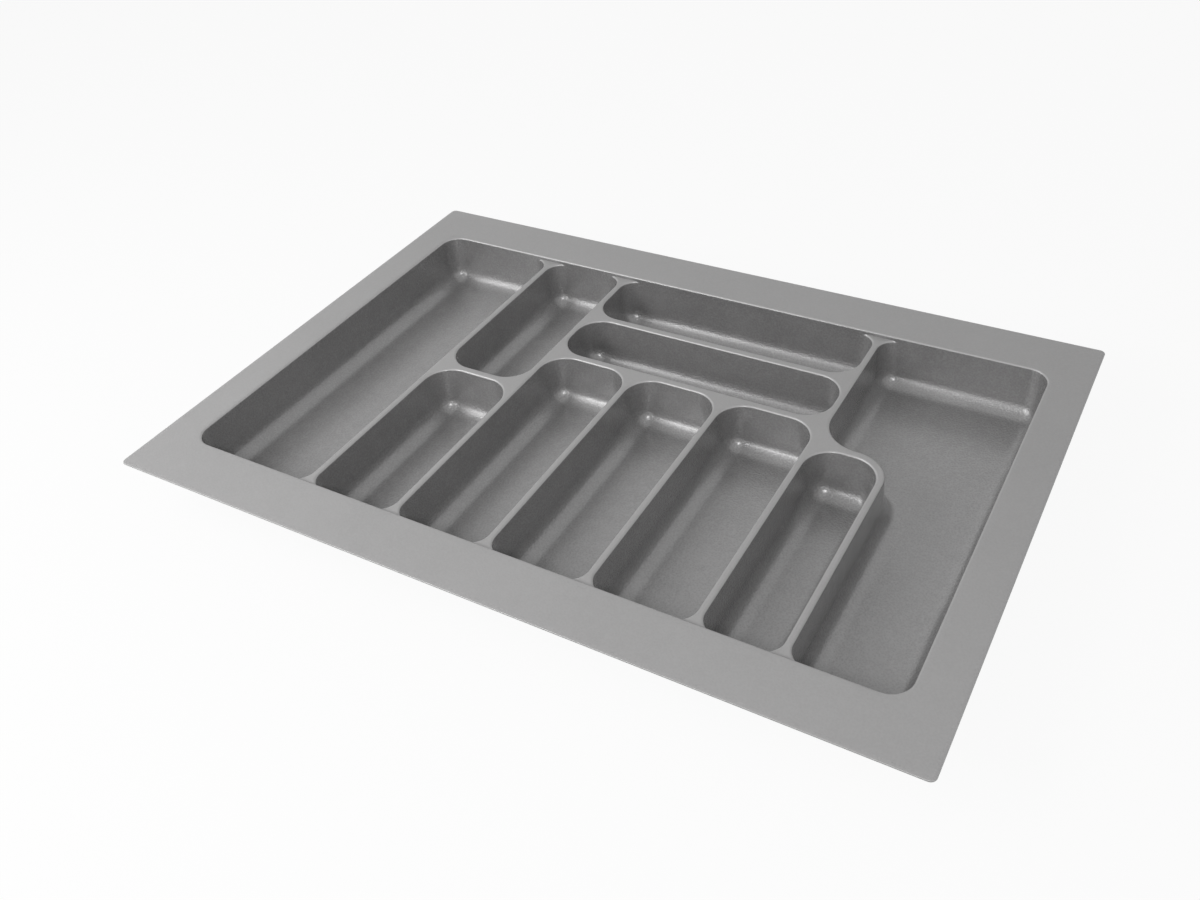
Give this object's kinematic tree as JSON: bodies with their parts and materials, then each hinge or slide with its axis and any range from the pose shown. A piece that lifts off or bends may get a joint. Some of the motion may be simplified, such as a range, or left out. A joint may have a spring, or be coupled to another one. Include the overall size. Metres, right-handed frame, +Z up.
{
  "type": "cutlery tray",
  "caption": "Thermoformed plastic drawer insert: a flat rectangular flange around a sunken field of drafted, round-cornered wells of several sizes for cutlery and utensils.",
  "frame": {"origin": "centre of the tray in plan, on the plane the well floors stand on", "axes": "+X across the drawer to the right, +Y towards the back of the drawer, +Z up"},
  "size_m": [0.7, 0.49, 0.05],
  "materials": {
    "sheet": "satin grey plastic with a fine embossed grain on the upper side"
  },
  "bodies": {
    "root": {"flange": "sheet", "ladle_divider": "sheet", "spoon_divider": "sheet", "fork_divider": "sheet", "knife_divider": "sheet", "narrow_divider": "sheet", "server_divider": "sheet", "gadget_divider": "sheet", "rear_cross_divider": "sheet", "middle_cross_divider": "sheet", "server_bend_divider": "sheet", "ladle_well": "sheet", "gadget_well": "sheet", "teaspoon_well": "sheet", "rear_cross_well": "sheet", "middle_cross_well": "sheet", "spoon_well": "sheet", "fork_well": "sheet", "knife_well": "sheet", "narrow_well": "sheet", "server_well": "sheet"}
  },
  "joints": []
}
